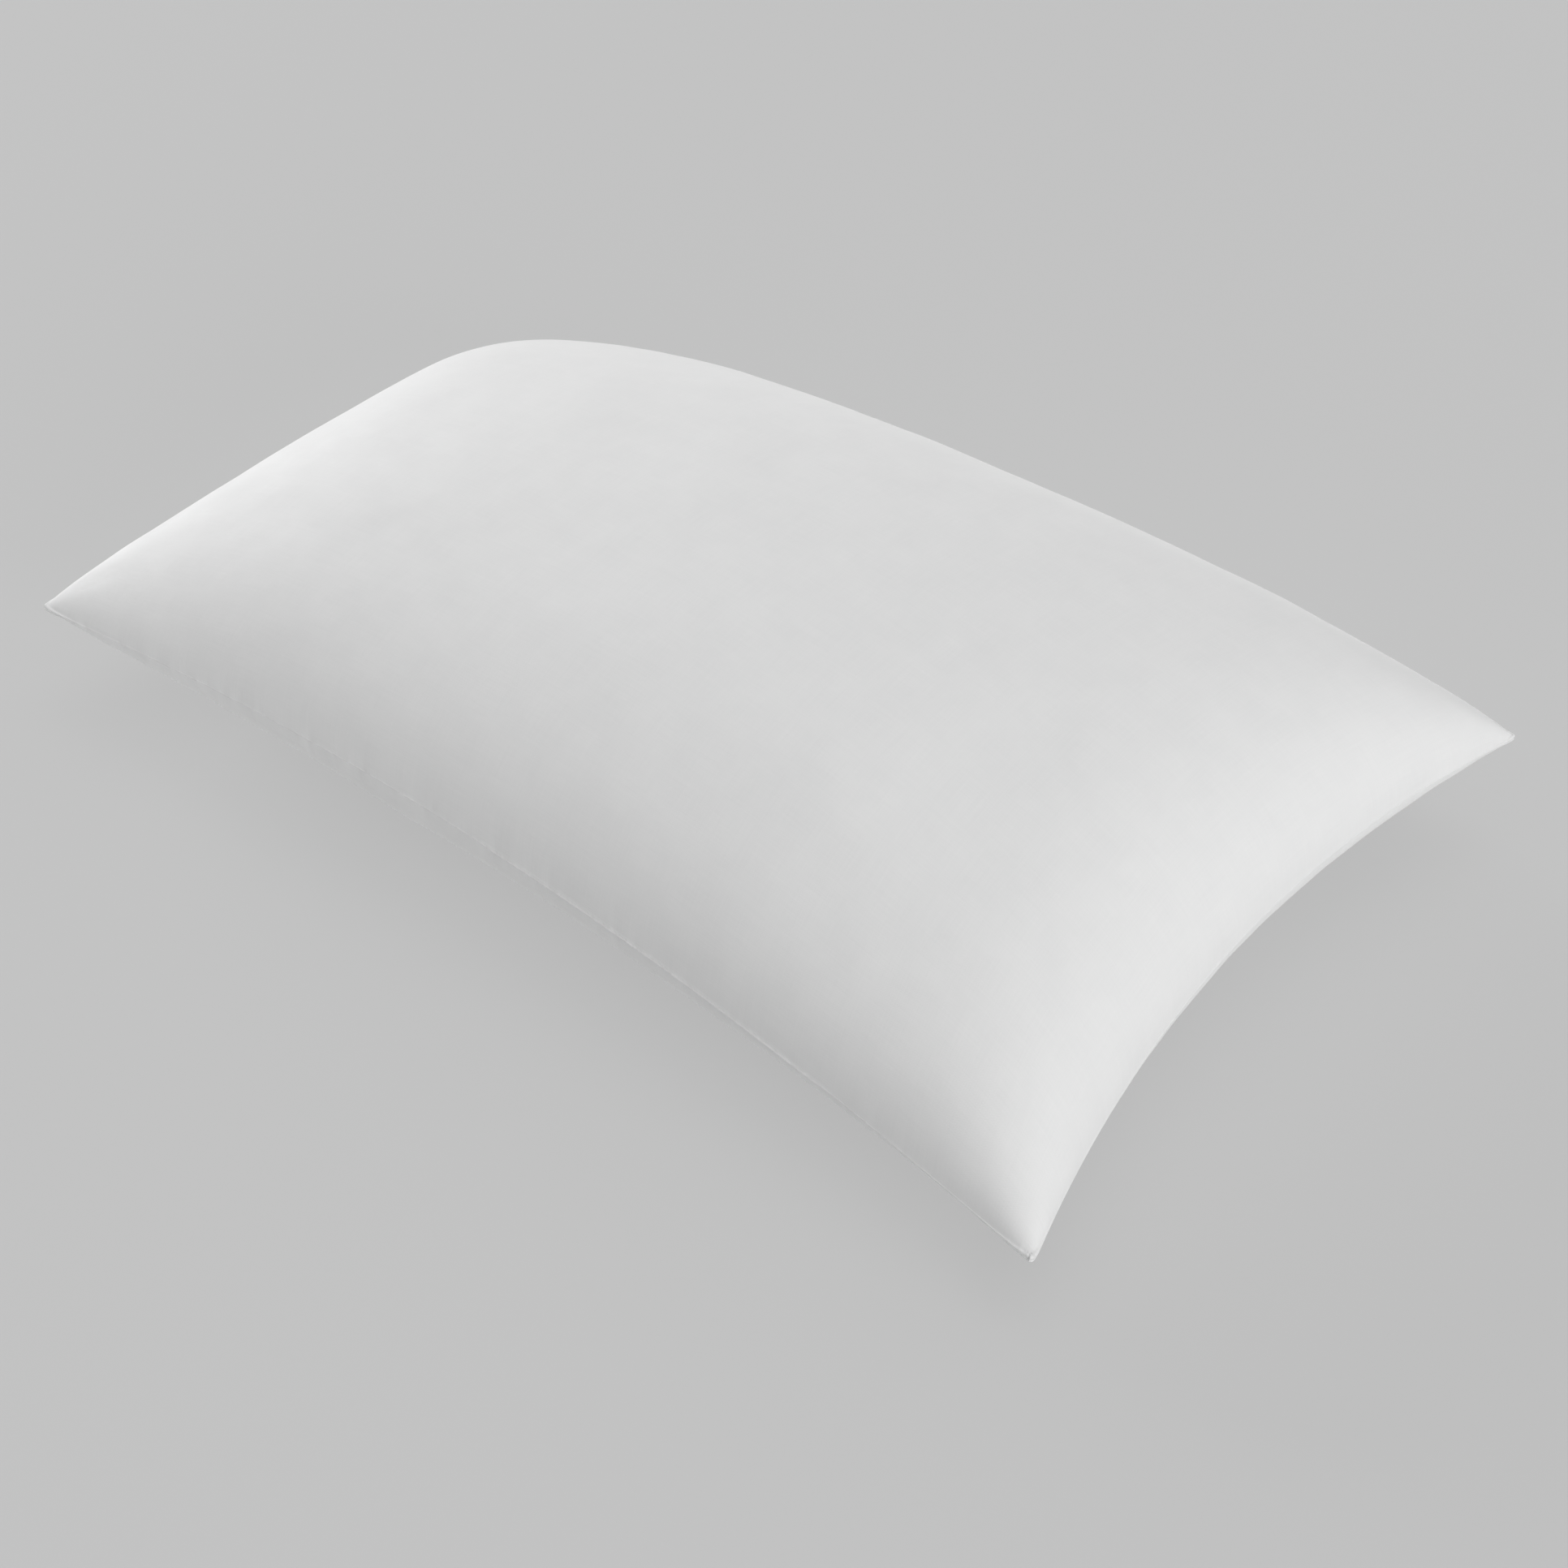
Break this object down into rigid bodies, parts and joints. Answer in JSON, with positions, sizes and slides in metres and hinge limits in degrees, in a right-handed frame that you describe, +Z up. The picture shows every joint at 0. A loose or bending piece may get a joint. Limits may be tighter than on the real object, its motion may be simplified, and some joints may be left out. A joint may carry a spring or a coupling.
{
  "type": "bed pillow",
  "caption": "Plump rectangular bed pillow with a knife-edge seam, drawn-out corners, smooth white cover and fibre filling.",
  "frame": {"origin": "on the surface the pillow lies on, under the middle of its outline", "axes": "+X along the pillow's long side, +Z up through its thickness, -Y to the long edge that was closed last"},
  "size_m": [0.72, 0.468, 0.1635],
  "materials": {
    "cover_cloth": "smooth fine plain weave with a slight sheen",
    "seam_thread": "spun polyester sewing thread",
    "fibre_batt": "carded fibre, matt",
    "fibre_core": "blown fibre, matt",
    "label_cloth": "satin-woven tape, blank"
  },
  "bodies": {
    "pillow": {"upper_cover_panel": "cover_cloth", "lower_cover_panel": "cover_cloth", "seam_needle_thread": "seam_thread", "seam_bobbin_thread": "seam_thread", "overlock_thread": "seam_thread", "closing_seam_thread": "seam_thread", "upper_fibre_batt": "fibre_batt", "lower_fibre_batt": "fibre_batt", "fibre_fill_core": "fibre_core"},
    "label": {"care_label": "label_cloth"}
  },
  "joints": [
    {"name": "label_flap", "type": "hinge", "parent": "pillow", "child": "label", "pos_m": [-0.19796, 0.21995, 0.04142], "axis": [0.998, -0.0635, 0], "range_deg": [0, 160]}
  ]
}
